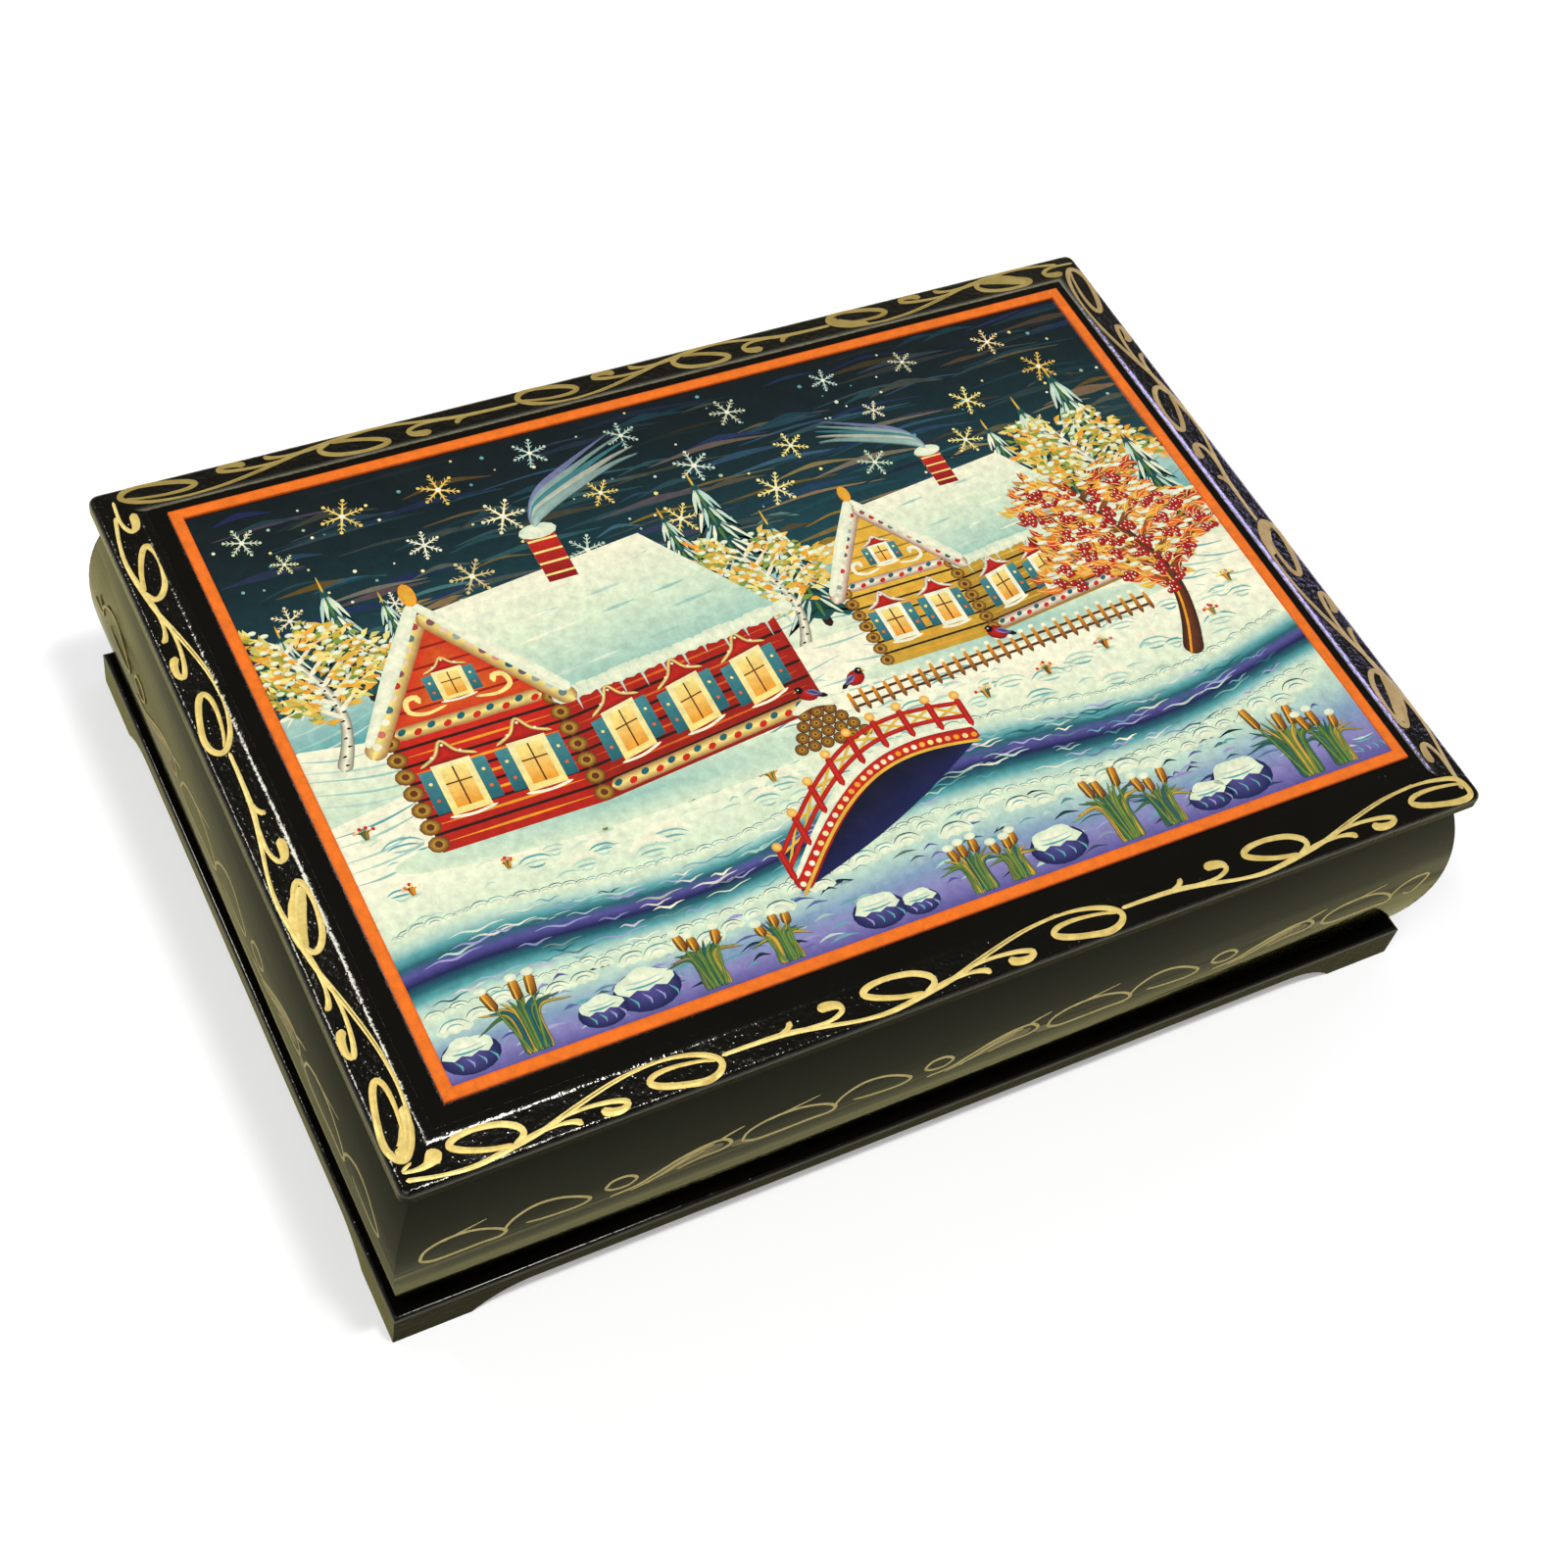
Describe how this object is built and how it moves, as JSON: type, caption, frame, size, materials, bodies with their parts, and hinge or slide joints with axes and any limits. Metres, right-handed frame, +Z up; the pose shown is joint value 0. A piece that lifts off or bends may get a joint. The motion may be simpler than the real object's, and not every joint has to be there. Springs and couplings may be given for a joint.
{
  "type": "lacquer box",
  "caption": "Small rectangular lacquered box with bulging walls, bracket feet and a hinged flat lid that carries a framed picture; holds jewellery and trinkets.",
  "frame": {"origin": "middle of the footprint, on the surface that the feet stand on", "axes": "+X along the long side to the right, +Y from front to hinged back, +Z up"},
  "size_m": [0.1412, 0.1012, 0.0369],
  "materials": {
    "black_lacquer": "high gloss black lacquer over board",
    "red_lacquer": "gloss red lacquer over board",
    "hinge_brass": "satin brass",
    "picture_paper": "printed paper under clear lacquer"
  },
  "bodies": {
    "case": {"plinth_front": "black_lacquer", "plinth_right": "black_lacquer", "plinth_back": "black_lacquer", "plinth_left": "black_lacquer", "wall_front": "black_lacquer", "wall_right": "black_lacquer", "wall_back": "black_lacquer", "wall_left": "black_lacquer", "floor_board": "red_lacquer", "hinge_case_leaf_left": "hinge_brass", "hinge_case_leaf_right": "hinge_brass", "hinge_pin_left": "hinge_brass", "hinge_pin_right": "hinge_brass", "hinge_nails_case": "hinge_brass"},
    "lid": {"lid_board": "black_lacquer", "lid_raised_panel": "black_lacquer", "lid_print": "picture_paper", "lid_inner_panel": "red_lacquer", "hinge_lid_leaf_left": "hinge_brass", "hinge_lid_leaf_right": "hinge_brass", "hinge_nails_lid": "hinge_brass"}
  },
  "joints": [
    {"name": "lid_hinge", "type": "hinge", "parent": "case", "child": "lid", "pos_m": [0, 0.0482, 0.0322], "axis": [-1, 0, 0], "range_deg": [0, 105]}
  ]
}
